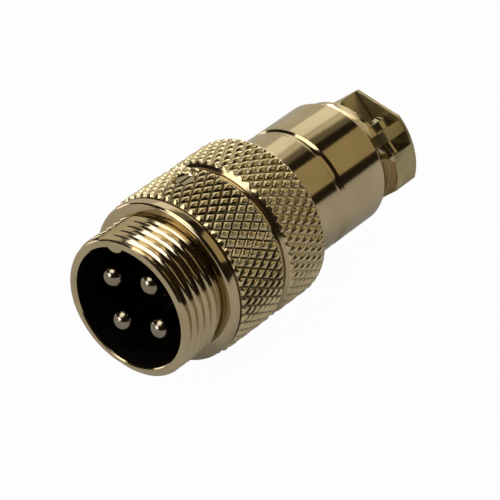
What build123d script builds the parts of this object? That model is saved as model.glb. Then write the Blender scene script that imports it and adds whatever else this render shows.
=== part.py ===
"""An in-line microphone plug: four pins in a threaded, knurled metal body, with a cord clamp at its tail.

It stands on its tail. Z runs up its axis, from the cord's end at Z = 0 to the rim of the threaded
end, and X points from the axis to the key and the set screw. Sizes are in millimetres.
"""

import os
from math import cos, pi, radians, sin, tan

from build123d import *

os.makedirs("parts", exist_ok=True)

# Lengths along the axis, from the tail to the rim
tail_length = 3.7
neck_length = 1.3
barrel_length = 13.75
rear_knurl_length = 6.25
seam_length = 0.8
front_knurl_length = 6.9
relief_length = 0.3
collar_length = 1.2
undercut_length = 0.4
thread_length = 5.4

# Outside of the two turned bodies: each radius is a step from the front thread or the knurl
thread_radius = 8.0
thread_depth = 0.6
thread_runout = 0.3
collar_step = 1.15
knurl_step = 1.4
seam_depth = 0.8
relief_depth = 0.6
barrel_drop = 2.2
neck_drop = 0.7
tail_flare = 0.4
barrel_bevel = 0.5
knurl_count = 36
knurl_depth = 0.3
knurl_angle = 30.7
spigot_bevel = 0.25
collar_bevel = 0.35
rim_bevel = 0.25
band_width = 0.95
band_depth = 0.3
band_above_neck = 7.1

# Cup, key and the bore behind them
cup_wall = 1.07
cup_depth = 9.0
key_height = 0.53
key_round = 1.2
lip_step = 0.53
lip_thickness = 0.8
insert_wall = 1.0
spigot_length = 5.0
thread_play = 0.05
seat_gap = 0.03
socket_runout = 0.4
barrel_wall = 1.3
shell_end_wall = 1.2

# Insulators and pins
insert_play = 0.1
holder_thickness = 3.0
pin_radius = 1.3
pin_circle_radius = 3.65
pin_count = 4
pin_tip_below_rim = 0.5
pin_play = 0.05
pin_seat_radius = 1.5
pin_collar_radius = 1.75
pin_collar_thickness = 0.6
solder_cup_length = 4.4
solder_bore_radius = 0.95
solder_bore_depth = 3.2
solder_mouth_length = 2.0
ring_thickness = 0.6
ring_width = 1.1
ring_groove_depth = 0.4
ring_opening_angle = 40

# Set screw in the front knurled band
set_screw_radius = 1.0
set_screw_length = 2.3
set_screw_below_plate = 1.55
set_screw_sunk = 0.45
countersink_radius = 1.35
slot_width = 0.35
slot_depth = 0.5

# Cord clamp at the tail
clamp_turn = 29.0
tail_top_cut = 2.3
tail_bottom_cut = 1.5
shoulder_angle = 54.0
shoulder_cut = 1.05
end_ring_length = 0.6
jaw_height = 3.5
saddle_opening = 1.6
saddle_play = 0.12
saddle_bevel = 0.5
arch_wall = 1.1
ear_thickness = 1.3
clamp_screw_inset = 2.15
clamp_head_room = 0.1
clamp_screw_radius = 0.7
clamp_screw_bite = 1.3
clamp_screw_room = 0.35
clamp_head_radius = 1.25
clamp_head_height = 1.5
clamp_head_bevel = 0.4
clamp_hole_play = 0.15

# Radii that follow from the thread's
undercut_radius = thread_radius - thread_depth
collar_radius = thread_radius + collar_step
knurl_radius = thread_radius + knurl_step
seam_radius = knurl_radius - seam_depth
relief_radius = knurl_radius - relief_depth
barrel_radius = knurl_radius - barrel_drop
neck_radius = barrel_radius - neck_drop
tail_radius = barrel_radius + tail_flare
shell_bore_radius = barrel_radius - barrel_wall
cup_radius = thread_radius - cup_wall
key_tip_radius = cup_radius - key_height
lip_radius = cup_radius - lip_step
insert_bore_radius = thread_radius - insert_wall
spigot_radius = thread_radius - thread_play

# Heights that follow from the lengths
neck_top = tail_length + neck_length
barrel_top = neck_top + barrel_length
shell_top = barrel_top + rear_knurl_length
front_knurl_bottom = shell_top + seam_length
front_knurl_top = front_knurl_bottom + front_knurl_length
collar_bottom = front_knurl_top + relief_length
collar_top = collar_bottom + collar_length
thread_bottom = collar_top + undercut_length
rim_height = thread_bottom + thread_length
spigot_bottom = shell_top - spigot_length
cup_floor = rim_height - cup_depth
lip_bottom = cup_floor - lip_thickness
holder_top = lip_bottom - pin_collar_thickness
holder_bottom = holder_top - holder_thickness
ring_bottom = holder_bottom - ring_thickness
set_screw_height = holder_top - set_screw_below_plate

# Plan of the clamp: its X is the way the saddle lifts
clamp_plan = Plane(
    origin=(0, 0, 0),
    x_dir=(cos(radians(clamp_turn)), sin(radians(clamp_turn)), 0),
    z_dir=(0, 0, 1),
)
clamp_up = clamp_plan.x_dir
clamp_side = clamp_plan.y_dir
saddle_rear = end_ring_length + saddle_play
saddle_front = tail_length - saddle_play
clamp_screw_height = (saddle_rear + saddle_front) / 2
tail_top = tail_radius - tail_top_cut
tail_bottom = tail_radius - tail_bottom_cut
shoulder_distance = tail_radius - shoulder_cut
clamp_screw_offset = tail_radius - clamp_screw_inset
arch_half_width = clamp_screw_offset - clamp_head_radius - clamp_head_room
cord_radius = arch_half_width - arch_wall
jaw_top = jaw_height - tail_bottom
saddle_base = jaw_top + saddle_opening
ear_top = saddle_base + ear_thickness
far = 3 * knurl_radius



def knurled_drum(bottom, top):
    """A drum with a crossed knurl round its side: each diamond is a pyramid of four flat faces."""
    steps = 2 * knurl_count
    row_height = pi * knurl_radius / knurl_count / tan(radians(knurl_angle))
    rows = round((top - bottom) / row_height)
    rings = []
    for row in range(rows + 1):
        ring = []
        for step in range(steps):
            is_peak = (row + step) % 2 == 1 and 0 < row < rows
            radius = knurl_radius if is_peak else knurl_radius - knurl_depth
            angle = radians(step * 360 / steps)
            height = bottom + (top - bottom) * row / rows
            ring.append(Vector(radius * cos(angle), radius * sin(angle), height))
        rings.append(ring)
    faces = [Face(Wire.make_polygon(ring)) for ring in (rings[0], rings[-1])]
    for row in range(rows):
        lower, upper = rings[row], rings[row + 1]
        for step in range(steps):
            after = (step + 1) % steps
            corners = [lower[step], lower[after], upper[after], upper[step]]
            if (row + step) % 2 == 1:
                corners = corners[1:] + corners[:1]
            faces.append(Face(Wire.make_polygon([corners[0], corners[1], corners[2]])))
            faces.append(Face(Wire.make_polygon([corners[0], corners[2], corners[3]])))
    return Solid(Shell(faces))


# Section of the tail: round, with a flat above, a flat below and two slanting shoulders
with BuildSketch(clamp_plan) as tail_section:
    Circle(tail_radius)
    with Locations(((tail_top - tail_bottom) / 2, 0)):
        Rectangle(tail_top + tail_bottom, far, mode=Mode.INTERSECT)
    for lean in (-shoulder_angle, shoulder_angle):
        reach = shoulder_distance + far / 2
        with Locations((reach * cos(radians(lean)), reach * sin(radians(lean)))):
            Rectangle(far, far, rotation=lean, mode=Mode.SUBTRACT)


# Front body: thread, undercut, collar, front knurled band and the spigot that screws into the shell
with BuildPart() as front_body:
    with BuildSketch(Plane.XZ):
        with BuildLine():
            Polyline(
                (0, spigot_bottom),
                (spigot_radius - spigot_bevel, spigot_bottom),
                (spigot_radius, spigot_bottom + spigot_bevel),
                (spigot_radius, shell_top + seat_gap),
                (seam_radius, shell_top + seat_gap),
                (seam_radius, front_knurl_top - relief_length),
                (relief_radius, front_knurl_top - relief_length),
                (relief_radius, collar_bottom),
                (collar_radius, collar_bottom),
                (collar_radius, collar_top - collar_bevel),
                (collar_radius - collar_bevel, collar_top),
                (undercut_radius, collar_top),
                (undercut_radius, thread_bottom),
                (thread_radius, thread_bottom + thread_runout),
                (thread_radius, rim_height - rim_bevel),
                (thread_radius - rim_bevel, rim_height),
                (0, rim_height),
                close=True,
            )
        make_face()
    revolve(axis=Axis.Z)
    add(knurled_drum(front_knurl_bottom, front_knurl_top))
    # Bore, stepped by the lip that the insulator seats against, with the groove for the ring
    with BuildSketch(Plane.XZ):
        with BuildLine():
            Polyline(
                (0, spigot_bottom),
                (insert_bore_radius, spigot_bottom),
                (insert_bore_radius, ring_bottom),
                (insert_bore_radius + ring_groove_depth, ring_bottom),
                (insert_bore_radius + ring_groove_depth, holder_bottom),
                (insert_bore_radius, holder_bottom),
                (insert_bore_radius, lip_bottom),
                (lip_radius, lip_bottom),
                (lip_radius, cup_floor),
                (cup_radius, cup_floor),
                (cup_radius, rim_height),
                (0, rim_height),
                close=True,
            )
        make_face()
    revolve(axis=Axis.Z, mode=Mode.SUBTRACT)
    # Key: a half-round rib down the wall of the cup
    with BuildSketch(Plane.XY.offset(cup_floor)):
        with Locations((key_tip_radius + key_round, 0)):
            Circle(key_round)
        Circle((cup_radius + undercut_radius) / 2, mode=Mode.INTERSECT)
    extrude(amount=cup_depth)
    # Tapped hole and countersink of the set screw
    with BuildSketch(Plane.YZ.offset(lip_radius)):
        with Locations((0, set_screw_height)):
            Circle(set_screw_radius + thread_play)
    extrude(amount=far, mode=Mode.SUBTRACT)
    with BuildSketch(Plane.XZ):
        with BuildLine():
            Polyline(
                (knurl_radius - countersink_radius, set_screw_height),
                (knurl_radius, set_screw_height),
                (knurl_radius, set_screw_height + countersink_radius),
                close=True,
            )
        make_face()
    revolve(axis=Axis((0, 0, set_screw_height), (1, 0, 0)), mode=Mode.SUBTRACT)

# Front insulator: the black floor of the cup, with a hole for each pin
with BuildPart() as pin_plate:
    with BuildSketch(Plane.XY.offset(holder_top)):
        Circle(insert_bore_radius - insert_play)
    extrude(amount=lip_bottom - holder_top)
    with BuildSketch(Plane.XY.offset(lip_bottom)):
        Circle(lip_radius - insert_play)
    extrude(amount=lip_thickness)
    with BuildSketch(Plane.XY.offset(holder_top)):
        with PolarLocations(pin_circle_radius, pin_count, start_angle=180 / pin_count):
            Circle(pin_seat_radius + pin_play)
    extrude(amount=cup_depth, mode=Mode.SUBTRACT)
    with BuildSketch(Plane.XY.offset(holder_top)):
        with PolarLocations(pin_circle_radius, pin_count, start_angle=180 / pin_count):
            Circle(pin_collar_radius + pin_play)
    extrude(amount=pin_collar_thickness, mode=Mode.SUBTRACT)

# Rear insulator: it traps the collars of the pins and has the dimple for the set screw
with BuildPart() as pin_holder:
    with BuildSketch(Plane.XY.offset(holder_bottom)):
        Circle(insert_bore_radius - insert_play)
        with PolarLocations(pin_circle_radius, pin_count, start_angle=180 / pin_count):
            Circle(pin_radius + pin_play, mode=Mode.SUBTRACT)
    extrude(amount=holder_thickness)
    set_screw_tip = knurl_radius - set_screw_sunk - set_screw_length
    with BuildSketch(Plane.YZ.offset(set_screw_tip - thread_play)):
        with Locations((0, set_screw_height)):
            Circle(set_screw_radius + 2 * thread_play)
    extrude(amount=far, mode=Mode.SUBTRACT)

# Split ring that holds the insulators against the lip
with BuildPart() as retaining_ring:
    ring_outer = insert_bore_radius + ring_groove_depth - insert_play
    with BuildSketch(Plane.XY.offset(ring_bottom)):
        Circle(ring_outer)
        Circle(ring_outer - ring_width, mode=Mode.SUBTRACT)
        with BuildLine():
            opening_half = radians(ring_opening_angle / 2)
            Polyline(
                (0, 0),
                (-far * cos(opening_half), far * sin(opening_half)),
                (-far * cos(opening_half), -far * sin(opening_half)),
                close=True,
            )
        make_face(mode=Mode.SUBTRACT)
    extrude(amount=ring_thickness)

# Contact pins: domed in front, with a collar between the insulators and an open solder cup behind
pin_tip = rim_height - pin_tip_below_rim
cup_end = holder_bottom - solder_cup_length
for pin_number in range(pin_count):
    pin_angle = 180 / pin_count + pin_number * 360 / pin_count
    pin_x = pin_circle_radius * cos(radians(pin_angle))
    pin_y = pin_circle_radius * sin(radians(pin_angle))
    with BuildPart() as contact_pin:
        with BuildSketch(Plane.XZ.offset(-pin_y)):
            with BuildLine():
                Polyline(
                    (pin_x, pin_tip),
                    (pin_x, cup_end),
                    (pin_x + pin_radius, cup_end),
                    (pin_x + pin_radius, holder_top),
                    (pin_x + pin_collar_radius, holder_top),
                    (pin_x + pin_collar_radius, holder_top + pin_collar_thickness),
                    (pin_x + pin_seat_radius, holder_top + pin_collar_thickness),
                    (pin_x + pin_seat_radius, cup_floor),
                    (pin_x + pin_radius, cup_floor),
                    (pin_x + pin_radius, pin_tip - pin_radius),
                )
                CenterArc((pin_x, pin_tip - pin_radius), pin_radius, 0, 90)
            make_face()
        revolve(axis=Axis((pin_x, pin_y, 0), (0, 0, 1)))
        with BuildSketch(Plane.XY.offset(cup_end)):
            with Locations((pin_x, pin_y)):
                Circle(solder_bore_radius)
        extrude(amount=solder_bore_depth, mode=Mode.SUBTRACT)
        pin_out = Plane(
            origin=(pin_x, pin_y, cup_end),
            x_dir=(cos(radians(pin_angle)), sin(radians(pin_angle)), 0),
            z_dir=(0, 0, 1),
        )
        with BuildSketch(pin_out):
            with Locations((pin_radius, 0)):
                Rectangle(2 * pin_radius, 4 * pin_radius)
        extrude(amount=solder_mouth_length, mode=Mode.SUBTRACT)
    contact_pin.part.label = f"contact_pin_{pin_number + 1}"
    export_step(contact_pin.part, f"parts/contact_pin_{pin_number + 1}.step")

# Set screw: headless, slotted, with its tip in the dimple of the rear insulator
with BuildPart() as set_screw:
    with BuildSketch(Plane.YZ.offset(set_screw_tip)):
        with Locations((0, set_screw_height)):
            Circle(set_screw_radius)
    extrude(amount=set_screw_length)
    with BuildSketch(Plane.YZ.offset(set_screw_tip + set_screw_length)):
        with Locations((0, set_screw_height)):
            Rectangle(slot_width, far)
    extrude(amount=-slot_depth, mode=Mode.SUBTRACT)

# Rear shell: rear knurled band, barrel with its groove, neck and the fixed half of the clamp
with BuildPart() as rear_shell:
    extrude(tail_section.sketch, amount=tail_length)
    chamfer(rear_shell.faces().sort_by(Axis.Z)[0].edges(), length=rim_bevel)
    band_bottom = neck_top + band_above_neck
    band_top = band_bottom + band_width
    with BuildSketch(Plane.XZ):
        with BuildLine():
            Polyline(
                (0, tail_length),
                (neck_radius, tail_length),
                (neck_radius, neck_top),
                (barrel_radius - barrel_bevel, neck_top),
                (barrel_radius, neck_top + barrel_bevel),
                (barrel_radius, band_bottom),
                (barrel_radius - band_depth, band_bottom + band_depth / 2),
                (barrel_radius - band_depth, band_top - band_depth / 2),
                (barrel_radius, band_top),
                (barrel_radius, barrel_top + knurl_depth),
                (0, barrel_top + knurl_depth),
                close=True,
            )
        make_face()
    revolve(axis=Axis.Z)
    add(knurled_drum(barrel_top, shell_top))
    # Hollow: tapped socket for the spigot, room for the solder joints, passage for the cord
    with BuildSketch(Plane.XZ):
        socket_bottom = spigot_bottom - socket_runout
        with BuildLine():
            Polyline(
                (0, 0),
                (cord_radius, 0),
                (cord_radius, neck_top + shell_end_wall),
                (shell_bore_radius, neck_top + shell_end_wall),
                (shell_bore_radius, socket_bottom),
                (spigot_radius + thread_play, socket_bottom),
                (spigot_radius + thread_play, shell_top),
                (0, shell_top),
                close=True,
            )
        make_face()
    revolve(axis=Axis.Z, mode=Mode.SUBTRACT)
    # Room for the saddle between the end ring and the neck
    with BuildSketch(clamp_plan.offset(end_ring_length)):
        with Locations((jaw_top + far / 2, 0)):
            Rectangle(far, far)
    extrude(amount=tail_length - end_ring_length, mode=Mode.SUBTRACT)
    # Tapped holes in the fixed jaw
    for side in (-1, 1):
        hole_mouth = (
            clamp_side * (side * clamp_screw_offset)
            + clamp_up * jaw_top
            + Vector(0, 0, clamp_screw_height)
        )
        with BuildSketch(Plane(origin=hole_mouth, x_dir=(0, 0, 1), z_dir=clamp_up)):
            Circle(clamp_screw_radius + thread_play)
        extrude(amount=-clamp_screw_bite - clamp_screw_room, mode=Mode.SUBTRACT)

# Saddle: the loose half of the clamp, an arch over the cord with an ear at each side
with BuildPart() as clamp_saddle:
    with BuildSketch(clamp_plan.offset(saddle_rear)):
        add(tail_section.sketch_local)
        with Locations((saddle_base + far / 2, 0)):
            Rectangle(far, far, mode=Mode.INTERSECT)
        for side in (-1, 1):
            with Locations((ear_top + far / 2, side * (arch_half_width + far / 2))):
                Rectangle(far, far, mode=Mode.SUBTRACT)
    extrude(amount=saddle_front - saddle_rear)
    arch_front = clamp_saddle.faces().sort_by(Axis.Z)[-1].edges()
    arch_start = ear_top + saddle_bevel
    above_ears = arch_front.filter_by(lambda edge: edge.center().dot(clamp_up) > arch_start)
    chamfer(above_ears, length=saddle_bevel)
    # Groove for the cord, with straight sides below the axis
    with BuildSketch(clamp_plan):
        Circle(cord_radius)
        with Locations((-far / 2, 0)):
            Rectangle(far, 2 * cord_radius)
    extrude(amount=tail_length, mode=Mode.SUBTRACT)
    for side in (-1, 1):
        ear_seat = (
            clamp_side * (side * clamp_screw_offset)
            + clamp_up * ear_top
            + Vector(0, 0, clamp_screw_height)
        )
        with BuildSketch(Plane(origin=ear_seat, x_dir=(0, 0, 1), z_dir=clamp_up)):
            Circle(clamp_screw_radius + clamp_hole_play)
        extrude(amount=-ear_thickness, mode=Mode.SUBTRACT)

# Clamp screws: bevelled slotted heads on the ears, shanks tapped into the fixed jaw
for screw_number, side in enumerate((-1, 1), start=1):
    ear_seat = (
        clamp_side * (side * clamp_screw_offset)
        + clamp_up * ear_top
        + Vector(0, 0, clamp_screw_height)
    )
    shank_length = ear_thickness + saddle_opening + clamp_screw_bite
    with BuildPart() as clamp_screw:
        with BuildSketch(Plane(origin=ear_seat, x_dir=clamp_side, z_dir=(0, 0, -1))):
            with BuildLine():
                Polyline(
                    (0, clamp_head_height),
                    (0, -shank_length),
                    (clamp_screw_radius, -shank_length),
                    (clamp_screw_radius, 0),
                    (clamp_head_radius, 0),
                    (clamp_head_radius, clamp_head_height - clamp_head_bevel),
                    (clamp_head_radius - clamp_head_bevel, clamp_head_height),
                    close=True,
                )
            make_face()
        revolve(axis=Axis(tuple(ear_seat), tuple(clamp_up)))
        head_top = ear_seat + clamp_up * clamp_head_height
        with BuildSketch(Plane(origin=head_top, x_dir=(0, 0, 1), z_dir=clamp_up)):
            Rectangle(slot_width, far)
        extrude(amount=-slot_depth, mode=Mode.SUBTRACT)
    clamp_screw.part.label = f"clamp_screw_{screw_number}"
    export_step(clamp_screw.part, f"parts/clamp_screw_{screw_number}.step")

for name, built in (
    ("front_body", front_body),
    ("rear_shell", rear_shell),
    ("clamp_saddle", clamp_saddle),
    ("set_screw", set_screw),
    ("pin_plate", pin_plate),
    ("pin_holder", pin_holder),
    ("retaining_ring", retaining_ring),
):
    built.part.label = name
    export_step(built.part, f"parts/{name}.step")
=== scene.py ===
"""The looks of the microphone plug: real thread and knurl, bright nickel, black insulator, studio light.

It lies on its side on a white table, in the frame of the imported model: Z runs up the axis from the tail
to the threaded rim, and X points from the axis to the key. The sizes of the plug are in millimetres, and
those of its materials, the table, the camera and the lamps in metres.
"""
from math import cos, floor, pi, radians, sin, sqrt, tau

import bmesh
import bpy
from mathutils import Matrix, Vector


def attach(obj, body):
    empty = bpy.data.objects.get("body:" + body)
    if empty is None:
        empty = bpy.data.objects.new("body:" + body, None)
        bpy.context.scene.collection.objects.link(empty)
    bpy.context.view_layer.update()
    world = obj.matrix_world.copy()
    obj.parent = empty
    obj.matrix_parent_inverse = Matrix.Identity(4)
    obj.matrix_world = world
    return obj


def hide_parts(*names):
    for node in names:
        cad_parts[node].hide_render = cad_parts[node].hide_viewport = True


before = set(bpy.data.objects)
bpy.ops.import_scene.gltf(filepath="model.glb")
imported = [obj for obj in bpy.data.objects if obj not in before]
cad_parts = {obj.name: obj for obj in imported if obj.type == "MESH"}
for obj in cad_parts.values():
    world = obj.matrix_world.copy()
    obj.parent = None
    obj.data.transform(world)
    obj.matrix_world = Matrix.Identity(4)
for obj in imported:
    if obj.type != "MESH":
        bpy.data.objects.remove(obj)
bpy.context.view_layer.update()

MM = 0.001

# Heights along the axis
NECK_BOTTOM = 3.7
NECK_TOP = 5.0
SHELL_FLOOR = 6.2
BAND_BOTTOM = 12.1
BAND_TOP = 13.05
BARREL_TOP = 18.75
SOCKET_BOTTOM = 19.6
SPIGOT_BOTTOM = 20.0
SHELL_TOP = 25.0
FRONT_KNURL_BOTTOM = 25.8
RING_BOTTOM = 26.0
HOLDER_BOTTOM = 26.6
SET_SCREW_HEIGHT = 28.05
LIP_BOTTOM = 30.2
CUP_FLOOR = 31.0
FRONT_KNURL_TOP = 32.7
COLLAR_BOTTOM = 33.0
COLLAR_TOP = 34.2
THREAD_BOTTOM = 34.6
RIM = 40.0

# Radii
CORD_RADIUS = 3.0
ROOM_RADIUS = 5.9
LIP_RADIUS = 6.4
NECK_RADIUS = 6.5
CUP_RADIUS = 6.93
BORE_RADIUS = 7.0
BARREL_RADIUS = 7.2
UNDERCUT_RADIUS = 7.4
RING_GROOVE_RADIUS = 7.4
SPIGOT_RADIUS = 7.95
SOCKET_RADIUS = 8.0
SEAM_RADIUS = 8.6
RELIEF_RADIUS = 8.8
COLLAR_RADIUS = 9.15
KNURL_RADIUS = 9.4

# Play between the two bodies, and how far the neck is sunk into the tail so that no seam shows
SEAT_GAP = 0.03
NECK_SINK = 0.1

# Small bevels and fillets. Those of several steps are pairs: inwards from the radius, and along the axis
SPIGOT_BEVEL = 0.25
COLLAR_LOWER_BEVEL = 0.08
RIM_BEVEL = 0.12
NECK_FILLET = 0.1
SHOULDER_FILLET = 0.15
COLLAR_EDGE = ((0.0, 0.35), (0.05, 0.2), (0.2, 0.05), (0.35, 0.0))
BARREL_EDGE = ((0.5, 0.0), (0.36, 0.06), (0.12, 0.3), (0.0, 0.62))
BAND_EDGE = ((0.0, -0.12), (0.06, -0.02), (0.26, 0.14), (0.3, 0.26))

# Crossed knurl: grooves of two helices, each with the same number of starts
KNURL_STARTS = 51
KNURL_REPEAT = 1.96
KNURL_DEPTH = 0.3
KNURL_ROUNDING = 0.9
KNURL_BEVEL = 0.3
SEAM_BEVEL = 0.6
KNURL_END_STEP = 0.12
STEPS_PER_DIAMOND = 8
AROUND = KNURL_STARTS * STEPS_PER_DIAMOND

# Coupling thread. Its crest and root are given as shares of half a pitch, away from the crest's middle
THREAD_RADIUS = 8.0
THREAD_ROOT = 7.42
THREAD_PITCH = 1.05
THREAD_STEPS = 16
CREST_END = 0.16
ROOT_START = 0.88
RIM_CHAMFER = 0.3
RIM_CHAMFER_SLOPE = 1.1
RUNOUT_HEIGHT = 0.1
RUNOUT_SLOPE = 2.0

# Half-round key in the cup
KEY_CENTRE = 7.6
KEY_ROUND = 1.2
KEY_HALF_ANGLE = 0.5

# Set screw's hole, from the inside out: distance from the axis and radius, the last three its countersink
SCREW_HOLE = ((6.0, 1.03), (8.3, 1.03), (8.45, 1.1), (9.05, 1.35), (10.0, 2.3))
HOLE_SIDES = 64

# Box that keeps the tail of the solid
TAIL_BOX_REACH = 12
TAIL_BOX_BOTTOM = -1

# Edges above this many degrees stay sharp
SHARP_ANGLE = 32

# Metres within which two vertices are one, and two diagonals equally long
WELD_DISTANCE = 1e-6
SAME_LENGTH = 1e-7


# Meshes

def knurl_height(angle, z):
    """0 at the bottom of a groove, 1 on a diamond's rounded top."""
    turn = angle / tau * KNURL_STARTS
    rise = z / KNURL_REPEAT
    height = 1.0
    for phase in (turn + rise, turn - rise):
        height = min(height, sin(pi * abs(phase - round(phase))) ** KNURL_ROUNDING)
    return height


def thread_radius(angle, z):
    """Radius of the coupling thread: narrow crests, tapering off at both ends."""
    phase = (RIM - z) / THREAD_PITCH + angle / tau
    away = abs(phase - round(phase)) * 2
    crest = min(1.0, max(0.0, (ROOT_START - away) / (ROOT_START - CREST_END)))
    radius = THREAD_ROOT + (THREAD_RADIUS - THREAD_ROOT) * crest
    chamfer = THREAD_RADIUS - RIM_CHAMFER + (RIM - z) * RIM_CHAMFER_SLOPE
    runout = THREAD_ROOT + RUNOUT_HEIGHT + (z - THREAD_BOTTOM) * RUNOUT_SLOPE
    return min(radius, chamfer, runout)


def key_radius(angle):
    """Radius of the cup's wall, with the half-round key that stands in from it."""
    turn = (angle + pi) % tau - pi
    reach = KEY_ROUND ** 2 - (KEY_CENTRE * sin(turn)) ** 2
    if abs(turn) > KEY_HALF_ANGLE or reach < 0:
        return CUP_RADIUS
    return min(CUP_RADIUS, KEY_CENTRE * cos(turn) - sqrt(reach))


def knurl_rows(bottom, top, bevel_above=KNURL_BEVEL):
    """Rows of a knurled band, which a plain bevel cuts at both ends."""
    step = KNURL_REPEAT / STEPS_PER_DIAMOND
    first = floor(bottom / step) + 1
    last = -floor(-top / step) - 1
    heights = {bottom, bottom + KNURL_END_STEP, bottom + KNURL_BEVEL,
               top - bevel_above, top - bevel_above / 2, top - KNURL_END_STEP, top}
    heights.update(k * step for k in range(first, last + 1))
    rows = []
    for z in sorted(heights):
        bevel = max(0.0, KNURL_BEVEL - (z - bottom)) + max(0.0, bevel_above - (top - z))

        def radius(angle, z=z, bevel=bevel):
            outer = KNURL_RADIUS - KNURL_DEPTH * (1 - knurl_height(angle, z))
            return min(outer, KNURL_RADIUS - bevel)
        rows.append((radius, z))
    return rows


def add_object(name, data):
    piece = bpy.data.objects.new(name, data)
    bpy.context.scene.collection.objects.link(piece)
    return piece


def turned(name, rows):
    """A closed turned body from rows of (radius or a function of the angle, z), each row a ring."""
    vertices, faces = [], []
    for radius, z in rows:
        for i in range(AROUND):
            angle = tau * i / AROUND
            r = radius(angle) if callable(radius) else radius
            vertices.append((r * cos(angle) * MM, r * sin(angle) * MM, z * MM))
    count = len(rows)
    for j in range(count):
        low, high = j * AROUND, ((j + 1) % count) * AROUND
        plain = not callable(rows[j][0]) and not callable(rows[(j + 1) % count][0])
        for i in range(AROUND):
            k = (i + 1) % AROUND
            a, b, c, d = low + i, low + k, high + k, high + i
            if plain:
                faces.append((a, b, c, d))
                continue
            # The shorter diagonal follows a ridge or groove; equal ones alternate
            one = (Vector(vertices[a]) - Vector(vertices[c])).length
            other = (Vector(vertices[b]) - Vector(vertices[d])).length
            along_one = (i + j) % 2 == 0 if abs(one - other) < SAME_LENGTH else one < other
            faces += [(a, b, c), (a, c, d)] if along_one else [(a, b, d), (b, c, d)]
    mesh = bpy.data.meshes.new(name)
    mesh.from_pydata(vertices, [], faces)
    piece = add_object(name, mesh)
    outward = bmesh.new()
    outward.from_mesh(mesh)
    bmesh.ops.recalc_face_normals(outward, faces=outward.faces)
    outward.to_mesh(mesh)
    outward.free()
    return piece


def countersunk_hole():
    """Cutter for the set screw's tapped hole and its countersink."""
    mesh = bpy.data.meshes.new("hole")
    made = bmesh.new()
    rings = []
    for x, r in SCREW_HOLE:
        angles = [tau * i / HOLE_SIDES for i in range(HOLE_SIDES)]
        rings.append([made.verts.new((x * MM, r * cos(a) * MM, (SET_SCREW_HEIGHT + r * sin(a)) * MM))
                      for a in angles])
    for one, two in zip(rings, rings[1:]):
        for i in range(HOLE_SIDES):
            k = (i + 1) % HOLE_SIDES
            made.faces.new((one[i], one[k], two[k], two[i]))
    made.faces.new(rings[0])
    made.faces.new(rings[-1])
    bmesh.ops.recalc_face_normals(made, faces=made.faces)
    made.to_mesh(mesh)
    made.free()
    return add_object("hole", mesh)


def box(name, low, high):
    """A box between two corners."""
    mesh = bpy.data.meshes.new(name)
    made = bmesh.new()
    bmesh.ops.create_cube(made, size=1.0)
    for vertex in made.verts:
        for k in range(3):
            vertex.co[k] = (low[k] if vertex.co[k] < 0 else high[k]) * MM
    made.to_mesh(mesh)
    made.free()
    return add_object(name, mesh)


def apply_modifiers(piece):
    depsgraph = bpy.context.evaluated_depsgraph_get()
    done = bpy.data.meshes.new_from_object(piece.evaluated_get(depsgraph))
    old = piece.data
    piece.modifiers.clear()
    piece.data = done
    done.name = piece.name
    bpy.data.meshes.remove(old)


def cut(piece, cutter, operation="DIFFERENCE"):
    """Apply a boolean of two closed meshes and drop the cutter."""
    step = piece.modifiers.new("cut", "BOOLEAN")
    step.operation = operation
    step.solver = "MANIFOLD"
    step.object = cutter
    apply_modifiers(piece)
    bpy.data.objects.remove(cutter)


def join(target, other):
    """Put the other piece's mesh into the target's mesh."""
    whole = bmesh.new()
    whole.from_mesh(target.data)
    whole.from_mesh(other.data)
    bpy.data.objects.remove(other)
    whole.to_mesh(target.data)
    whole.free()


def smooth_by_angle(piece, degrees):
    """Smooth shading with sharp edges above the angle; large faces keep their own direction."""
    piece.data.polygons.foreach_set("use_smooth", [True] * len(piece.data.polygons))
    piece.data.set_sharp_from_angle(angle=radians(degrees))
    weighted = piece.modifiers.new("weighted", "WEIGHTED_NORMAL")
    weighted.keep_sharp = True
    weighted.weight = 100
    apply_modifiers(piece)


# Front body: spigot, seam, front knurled band, collar, thread, cup with its key, and the bore behind it

front_rows = [(BORE_RADIUS, SPIGOT_BOTTOM), (SPIGOT_RADIUS - SPIGOT_BEVEL, SPIGOT_BOTTOM),
              (SPIGOT_RADIUS, SPIGOT_BOTTOM + SPIGOT_BEVEL), (SPIGOT_RADIUS, SHELL_TOP + SEAT_GAP),
              (SEAM_RADIUS, SHELL_TOP + SEAT_GAP), (SEAM_RADIUS, FRONT_KNURL_BOTTOM)]
front_rows += knurl_rows(FRONT_KNURL_BOTTOM, FRONT_KNURL_TOP)
front_rows += [(RELIEF_RADIUS, FRONT_KNURL_TOP), (RELIEF_RADIUS, COLLAR_BOTTOM),
               (COLLAR_RADIUS - COLLAR_LOWER_BEVEL, COLLAR_BOTTOM),
               (COLLAR_RADIUS, COLLAR_BOTTOM + COLLAR_LOWER_BEVEL)]
front_rows += [(COLLAR_RADIUS - inwards, COLLAR_TOP - down) for inwards, down in COLLAR_EDGE]
front_rows += [(UNDERCUT_RADIUS, COLLAR_TOP), (UNDERCUT_RADIUS, THREAD_BOTTOM)]
thread_rows = int((RIM - THREAD_BOTTOM) / THREAD_PITCH * THREAD_STEPS)
thread_heights = [THREAD_BOTTOM + THREAD_PITCH * k / THREAD_STEPS for k in range(thread_rows)] + [RIM]
front_rows += [(lambda angle, z=z: thread_radius(angle, z), z) for z in thread_heights]
front_rows += [(CUP_RADIUS + RIM_BEVEL, RIM), (key_radius, RIM - RIM_BEVEL), (key_radius, CUP_FLOOR),
               (LIP_RADIUS, CUP_FLOOR), (LIP_RADIUS, LIP_BOTTOM), (BORE_RADIUS, LIP_BOTTOM),
               (BORE_RADIUS, HOLDER_BOTTOM), (RING_GROOVE_RADIUS, HOLDER_BOTTOM),
               (RING_GROOVE_RADIUS, RING_BOTTOM), (BORE_RADIUS, RING_BOTTOM)]
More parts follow.
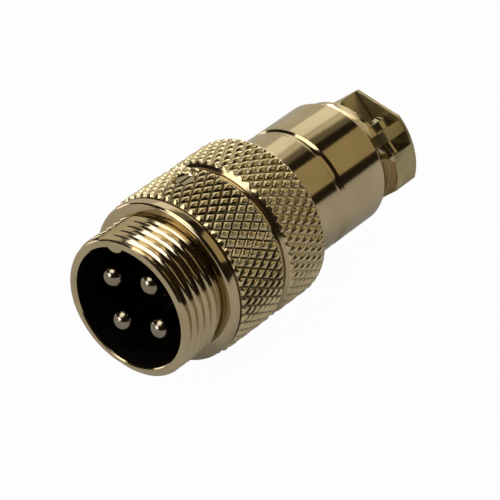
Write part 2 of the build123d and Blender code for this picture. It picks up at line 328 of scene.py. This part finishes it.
front = turned("front_body_turned", front_rows)
cut(front, countersunk_hole())
smooth_by_angle(front, SHARP_ANGLE)

# Rear shell: neck, barrel with its groove and the rear knurled band; the tail comes from the solid

shell_rows = [(ROOM_RADIUS, SHELL_FLOOR), (CORD_RADIUS, SHELL_FLOOR),
              (CORD_RADIUS, NECK_BOTTOM - NECK_SINK), (NECK_RADIUS, NECK_BOTTOM - NECK_SINK),
              (NECK_RADIUS, NECK_TOP - NECK_FILLET), (NECK_RADIUS + NECK_FILLET, NECK_TOP)]
shell_rows += [(BARREL_RADIUS - inwards, NECK_TOP + up) for inwards, up in BARREL_EDGE]
shell_rows += [(BARREL_RADIUS - inwards, BAND_BOTTOM + within) for inwards, within in BAND_EDGE]
shell_rows += [(BARREL_RADIUS - inwards, BAND_TOP - within) for inwards, within in reversed(BAND_EDGE)]
shell_rows += [(BARREL_RADIUS, BARREL_TOP - SHOULDER_FILLET), (BARREL_RADIUS + SHOULDER_FILLET, BARREL_TOP)]
shell_rows += knurl_rows(BARREL_TOP, SHELL_TOP, SEAM_BEVEL)
shell_rows += [(SOCKET_RADIUS, SHELL_TOP), (SOCKET_RADIUS, SOCKET_BOTTOM), (ROOM_RADIUS, SOCKET_BOTTOM)]
shell = turned("rear_shell_turned", shell_rows)

tail = add_object("tail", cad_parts["rear_shell"].data.copy())
weld = bmesh.new()
weld.from_mesh(tail.data)
bmesh.ops.remove_doubles(weld, verts=weld.verts, dist=WELD_DISTANCE)
weld.to_mesh(tail.data)
weld.free()
tail_box = box("tail_box", (-TAIL_BOX_REACH, -TAIL_BOX_REACH, TAIL_BOX_BOTTOM),
               (TAIL_BOX_REACH, TAIL_BOX_REACH, NECK_BOTTOM))
cut(tail, tail_box, "INTERSECT")
join(shell, tail)
smooth_by_angle(shell, SHARP_ANGLE)


# Materials

# Painted shade in recesses: how far the occlusion reaches, in metres, and where its darkening starts and
# ends
RECESS_SHADE_REACH = 0.0004
RECESS_SHADE_START = 0.58
RECESS_SHADE_END = 0.96


def feed(tree, node, inputs):
    """Give a node's inputs, by name or number, a value or the output of another node."""
    for name, value in inputs.items():
        if isinstance(value, bpy.types.NodeSocket):
            tree.links.new(value, node.inputs[name])
        else:
            node.inputs[name].default_value = value


def add_node(tree, kind, inputs, **settings):
    """New shader node with its settings and inputs."""
    made = tree.nodes.new("ShaderNode" + kind)
    for name, value in settings.items():
        setattr(made, name, value)
    feed(tree, made, inputs)
    return made


def new_material(name):
    material = bpy.data.materials.new(name)
    material.use_nodes = True
    tree = material.node_tree
    return material, tree, tree.nodes["Principled BSDF"]


def noise(tree, scale, detail, stretch=(1, 1, 1)):
    """Noise over the object's own coordinates, stretched along its axes."""
    place = add_node(tree, "TexCoord", {})
    sized = add_node(tree, "Mapping", {"Vector": place.outputs["Object"], "Scale": stretch})
    made = add_node(tree, "TexNoise", {"Vector": sized.outputs["Vector"], "Scale": scale, "Detail": detail})
    return made.outputs["Fac"]


def ramp(tree, source, stops):
    """Colour ramp between two stops, each a place and a colour."""
    made = add_node(tree, "ValToRGB", {"Fac": source})
    for element, (place, colour) in zip(made.color_ramp.elements, stops):
        element.position = place
        element.color = (*colour, 1)
    return made.outputs["Color"]


def paint_shade_in_recesses(tree, colour, darkest):
    """The colour with painted shade, darkened where the surface lies deep between its neighbours."""
    recess = add_node(tree, "AmbientOcclusion", {"Distance": RECESS_SHADE_REACH}, samples=8)
    shade = ramp(tree, recess.outputs["AO"], [(RECESS_SHADE_START, (darkest,) * 3), (RECESS_SHADE_END, (1, 1, 1))])
    return add_node(tree, "VectorMath", {0: colour, 1: shade}, operation="MULTIPLY").outputs["Vector"]


def metal(name, light, dark, roughness, edge=0.00006, turning=0.25, recess_shade=None):
    """Plated metal: soft blotches of colour, fine turning marks, rounded edges and painted shade in its
    recesses.
    """
    material, tree, shader = new_material(name)
    colour = ramp(tree, noise(tree, scale=260.0, detail=4.0), [(0.3, dark), (0.7, light)])
    # Painted shade where the surface lies deep, darkest by the given share
    if recess_shade is not None:
        colour = paint_shade_in_recesses(tree, colour, recess_shade)
    rough = add_node(tree, "MapRange", {"Value": noise(tree, scale=900.0, detail=3.0),
                                        "To Min": roughness * 0.8, "To Max": roughness * 1.25})
    marks = noise(tree, scale=900.0, detail=2.0, stretch=(0.15, 0.15, 12.0))
    bump = add_node(tree, "Bump", {"Height": marks, "Strength": turning, "Distance": 0.00001})
    rounded = add_node(tree, "Bevel", {"Normal": bump.outputs["Normal"], "Radius": edge}, samples=4)
    feed(tree, shader, {"Metallic": 1.0, "Base Color": colour, "Roughness": rough.outputs["Result"],
                        "Normal": rounded.outputs["Normal"]})
    return material


def black_moulding():
    """Satin black plastic with a fine grain."""
    material, tree, shader = new_material("insulator")
    blotches = noise(tree, scale=1200.0, detail=4.0)
    colour = ramp(tree, blotches, [(0.3, (0.006, 0.006, 0.006)), (0.7, (0.012, 0.012, 0.012))])
    grain = noise(tree, scale=6000.0, detail=3.0)
    bump = add_node(tree, "Bump", {"Height": grain, "Strength": 0.3, "Distance": 0.00002})
    feed(tree, shader, {"Base Color": colour, "Roughness": 0.45, "Specular IOR Level": 0.3,
                        "Normal": bump.outputs["Normal"]})
    return material


nickel = metal("nickel", (0.58, 0.50, 0.35), (0.50, 0.42, 0.28), 0.11)
# Knurled nickel, lighter than the plain nickel, with painted shade in its grooves
knurl_nickel = metal("knurl_nickel", (0.80, 0.69, 0.45), (0.61, 0.52, 0.32), 0.20, 0.00003, 0.5, recess_shade=0.08)
# Near-black metal for the cup's wall and the bore behind it: a painted shade for the dark inside of the
# nickel cup
bore_painted_shade = metal("bore_painted_shade", (0.020, 0.018, 0.015), (0.010, 0.009, 0.008), 0.6)
cast_nickel = metal("cast_nickel", (0.56, 0.50, 0.32), (0.42, 0.37, 0.22), 0.40, 0.00008, 0.6)
screw_metal = metal("screw_metal", (0.62, 0.56, 0.38), (0.48, 0.42, 0.27), 0.22)
set_screw_metal = metal("set_screw_metal", (0.48, 0.42, 0.29), (0.30, 0.26, 0.18), 0.28)
pin_metal = metal("pin_metal", (0.38, 0.35, 0.29), (0.28, 0.25, 0.20), 0.14)
ring_metal = metal("ring_metal", (0.50, 0.49, 0.46), (0.38, 0.37, 0.35), 0.3)
insulator = black_moulding()

looks = {"clamp_saddle": cast_nickel, "clamp_screw_1": screw_metal, "clamp_screw_2": screw_metal,
         "set_screw": set_screw_metal, "pin_plate": insulator, "pin_holder": insulator,
         "retaining_ring": ring_metal}
looks.update({f"contact_pin_{n}": pin_metal for n in range(1, 5)})
for node, material in looks.items():
    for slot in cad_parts[node].material_slots:
        slot.material = material

# Numbers of the materials on the two turned bodies, and the limits between them
PLAIN, KNURLED, BORE, CAST = range(4)
KNURL_INNER_LIMIT = 8.95
BORE_OUTER_LIMIT = CUP_RADIUS + 0.05
BORE_TOP = RIM - 0.1
CAST_TOP = NECK_BOTTOM - 0.2


def front_choice(centre):
    radius = sqrt(centre.x ** 2 + centre.y ** 2)
    # The cup's wall and the bore take the near-black painted shade
    if radius < BORE_OUTER_LIMIT and SPIGOT_BOTTOM < centre.z < BORE_TOP:
        return BORE
    if FRONT_KNURL_BOTTOM < centre.z < FRONT_KNURL_TOP and radius > KNURL_INNER_LIMIT:
        return KNURLED
    return PLAIN


def shell_choice(centre):
    radius = sqrt(centre.x ** 2 + centre.y ** 2)
    if centre.z < CAST_TOP:
        return CAST
    if BARREL_TOP < centre.z < SHELL_TOP - SEAM_BEVEL / 2 and radius > KNURL_INNER_LIMIT:
        return KNURLED
    return PLAIN


def give_materials(piece, choose):
    """Give each face of a piece the material whose number the function returns for its centre."""
    piece.data.materials.clear()
    for material in (nickel, knurl_nickel, bore_painted_shade, cast_nickel):
        piece.data.materials.append(material)
    numbers = [choose(face.center / MM) for face in piece.data.polygons]
    piece.data.polygons.foreach_set("material_index", numbers)
    piece.data.update()


for piece, body, slot, choose in ((front, "front_body", "nickel", front_choice),
                                  (shell, "rear_shell", "nickel_shell", shell_choice)):
    give_materials(piece, choose)
    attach(piece, body)
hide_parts("front_body")
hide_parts("rear_shell")

# Directions around the axis are angles from the camera's side towards the far side, negative over the top

TOWARD_CAMERA = Vector((0.5635, -0.8261, 0.0))
SIDEWAYS = Vector((-0.8261, -0.5635, 0.0))
AXIS = Vector((0.0, 0.0, 1.0))

# Table: the side it is on, its play in millimetres, its reach in metres, and how white it is to the
# camera and in reflections
TABLE_ANGLE = -46.0
TABLE_PLAY = 0.02
TABLE_REACH = 6.0
WHITE_SEEN = 0.975
WHITE_REFLECTED = 0.18


def around_axis(degrees):
    return TOWARD_CAMERA * cos(radians(degrees)) + SIDEWAYS * sin(radians(degrees))


def table_white():
    """White that is see-through from below."""
    material, tree, shader = new_material("table_white")
    feed(tree, shader, {"Base Color": (0.62, 0.60, 0.58, 1), "Roughness": 0.9, "Specular IOR Level": 0.0})
    glow = add_node(tree, "Emission", {"Color": (1, 1, 1, 1)})
    rays = add_node(tree, "LightPath", {})
    seen = add_node(tree, "Math", {0: rays.outputs["Is Camera Ray"], 1: WHITE_SEEN}, operation="MULTIPLY")
    share = add_node(tree, "Math", {0: rays.outputs["Is Glossy Ray"], 1: WHITE_REFLECTED,
                                    2: seen.outputs[0]}, operation="MULTIPLY_ADD")
    top = add_node(tree, "MixShader", {0: share.outputs[0], 1: shader.outputs[0], 2: glow.outputs[0]})
    side = add_node(tree, "NewGeometry", {})
    clear = add_node(tree, "BsdfTransparent", {})
    both = add_node(tree, "MixShader", {0: side.outputs["Backfacing"], 1: top.outputs[0],
                                        2: clear.outputs[0]})
    feed(tree, tree.nodes["Material Output"], {"Surface": both.outputs[0]})
    return material


up = around_axis(TABLE_ANGLE)
level = up.cross(AXIS).normalized()
table_mesh = bpy.data.meshes.new("table")
grid = bmesh.new()
bmesh.ops.create_grid(grid, x_segments=1, y_segments=1, size=TABLE_REACH)
grid.to_mesh(table_mesh)
grid.free()
table = add_object("table", table_mesh)
table_turn = Matrix((level, AXIS, up)).transposed().to_4x4()
table.matrix_world = Matrix.Translation(-up * (KNURL_RADIUS + TABLE_PLAY) * MM) @ table_turn
table.data.materials.append(table_white())

# Camera, fitted to the photo's ellipses

camera_data = bpy.data.cameras.new("camera")
camera_data.lens = 227.658
camera_data.sensor_width = 36.0
camera_data.clip_start = 0.01
camera_data.clip_end = 50.0
camera = add_object("camera", camera_data)
camera.matrix_world = Matrix((
    (-0.180955, 0.881517, 0.436099, 0.1434933),
    (-0.764466, 0.152898, -0.626270, -0.2103533),
    (-0.618746, -0.446710, 0.646222, 0.2377545),
    (0, 0, 0, 1),
))
bpy.context.scene.camera = camera

# Lamps, all at one distance from the plug's middle, and the world

MIDDLE = Vector((0.0, 0.0, 0.02))
LAMP_DISTANCE = 1.2


def lamp(name, around, along, width, height, strength, colour):
    """A rectangular lamp: its direction is an angle around the axis and one along it, towards the rim."""
    data = bpy.data.lights.new(name, "AREA")
    data.shape = "RECTANGLE"
    data.size = width
    data.size_y = height
    data.color = colour
    data.energy = strength * width * height * pi
    light = add_object(name, data)
    flat = around_axis(around)
    direction = flat * cos(radians(along)) + AXIS * sin(radians(along))
    across = flat.cross(AXIS).normalized()
    upright = direction.cross(across).normalized()
    turn = Matrix((across, upright, direction)).transposed().to_4x4()
    light.matrix_world = Matrix.Translation(MIDDLE + direction * LAMP_DISTANCE) @ turn
    light.visible_camera = False


lamp("window", -104, -38, 1.6, 1.6, 0.62, (1.0, 0.92, 0.72))
lamp("window_core", -84, -38, 0.45, 1.4, 0.55, (1.0, 0.95, 0.80))
lamp("room", 0, -38, 0.80, 1.2, 0.42, (1.0, 0.80, 0.42))
lamp("window_edge", -54, -38, 0.34, 1.2, 0.16, (1.0, 0.85, 0.55))
lamp("far_window", -134, 6, 0.5, 0.5, 2.0, (1.0, 0.96, 0.86))
lamp("tail_window", -134, -62, 0.4, 0.5, 3.0, (1.0, 0.96, 0.80))
lamp("front_window", -54, 22, 0.8, 1.1, 2.6, (1.0, 0.92, 0.74))
lamp("thread_window", -86, 65, 0.55, 0.6, 3.4, (1.0, 0.94, 0.92))
lamp("thread_side", -121, 38, 0.4, 0.5, 0.7, (1.0, 0.90, 0.66))
lamp("tail_side", -70, -75, 1.0, 0.5, 0.6, (1.0, 0.90, 0.62))

world = bpy.data.worlds.new("world")
bpy.context.scene.world = world
world.use_nodes = True
sky = world.node_tree
dim_room = sky.nodes["Background"]
feed(sky, dim_room, {"Color": (0.02, 0.014, 0.009, 1)})
paper = add_node(sky, "Background", {"Color": (1, 1, 1, 1)})
sky_rays = add_node(sky, "LightPath", {})
backdrop = add_node(sky, "MixShader", {0: sky_rays.outputs["Is Camera Ray"], 1: dim_room.outputs[0],
                                       2: paper.outputs[0]})
feed(sky, sky.nodes["World Output"], {"Surface": backdrop.outputs[0]})

bpy.context.scene.view_settings.view_transform = "Standard"
